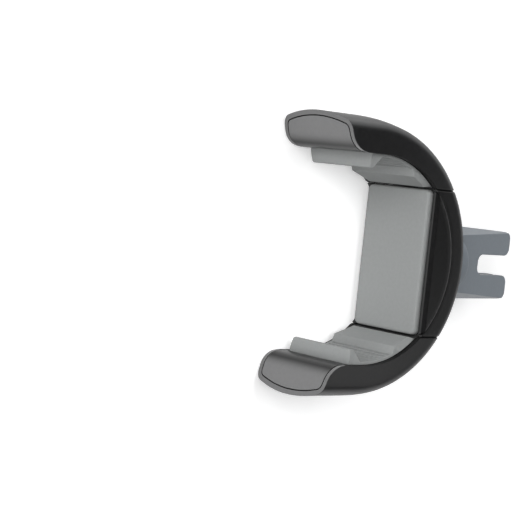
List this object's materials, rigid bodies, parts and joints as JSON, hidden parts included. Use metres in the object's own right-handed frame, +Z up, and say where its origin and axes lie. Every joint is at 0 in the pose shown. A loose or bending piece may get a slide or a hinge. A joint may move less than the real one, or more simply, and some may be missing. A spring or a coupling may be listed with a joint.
{
  "type": "air vent phone holder",
  "caption": "Car phone holder: a crowned U with two spring-loaded sliding arms, rubber liners and pad, on a swivelling forked clip for an air vent louvre.",
  "frame": {"origin": "middle of the centre pad's front face, which the phone's back lies on", "axes": "+X across the two arms, -Y out of the pad towards the phone, +Y into the vent, +Z up along the phone"},
  "size_m": [0.083, 0.0856, 0.0312],
  "materials": {
    "shell_black": "satin black with a fine grain",
    "frame_black": "smooth black",
    "rubber_grey": "matt light grey",
    "clip_grey": "satin blue grey",
    "mechanism_white": "natural white, satin",
    "steel": "zinc plated"
  },
  "bodies": {
    "housing": {"centre_cover": "shell_black", "centre_housing": "shell_black", "centre_pad": "rubber_grey", "slide_keeper": "mechanism_white", "cover_screws": "steel", "keeper_screws": "steel", "pinion_pin": "steel", "return_spring_left": "steel", "return_spring_right": "steel"},
    "arm_left": {"arm_shell_left": "shell_black", "arm_frame_left": "frame_black", "grip_liner_left": "rubber_grey", "slide_rack_left": "mechanism_white", "rack_screws_left": "steel"},
    "arm_right": {"arm_shell_right": "shell_black", "arm_frame_right": "frame_black", "grip_liner_right": "rubber_grey", "slide_rack_right": "mechanism_white", "rack_screws_right": "steel"},
    "pinion": {"pinion": "mechanism_white"},
    "clip": {"vent_clip": "clip_grey", "swivel_washer": "steel", "swivel_screw": "steel"}
  },
  "joints": [
    {"name": "left_slide", "type": "slide", "parent": "housing", "child": "arm_left", "axis": [-1, 0, 0], "range_m": [0, 0.012], "stiffness_N_per_m": 150, "springref_m": -0.02, "deforming": ["return_spring_left"]},
    {"name": "right_slide", "type": "slide", "parent": "housing", "child": "arm_right", "axis": [1, 0, 0], "range_m": [0, 0.012], "stiffness_N_per_m": 150, "springref_m": -0.02, "deforming": ["return_spring_right"]},
    {"name": "pinion_spin", "type": "hinge", "parent": "housing", "child": "pinion", "pos_m": [0, 0.0057, 0], "axis": [0, -1, 0], "range_deg": [-2, 175]},
    {"name": "clip_swivel", "type": "hinge", "parent": "housing", "child": "clip", "pos_m": [0, 0.0136, 0], "axis": [0, 1, 0], "continuous": true}
  ],
  "couplings": [
    {"joint": "right_slide", "follows": "left_slide", "ratio": 1},
    {"joint": "pinion_spin", "follows": "left_slide", "rad_per_m": 250}
  ]
}
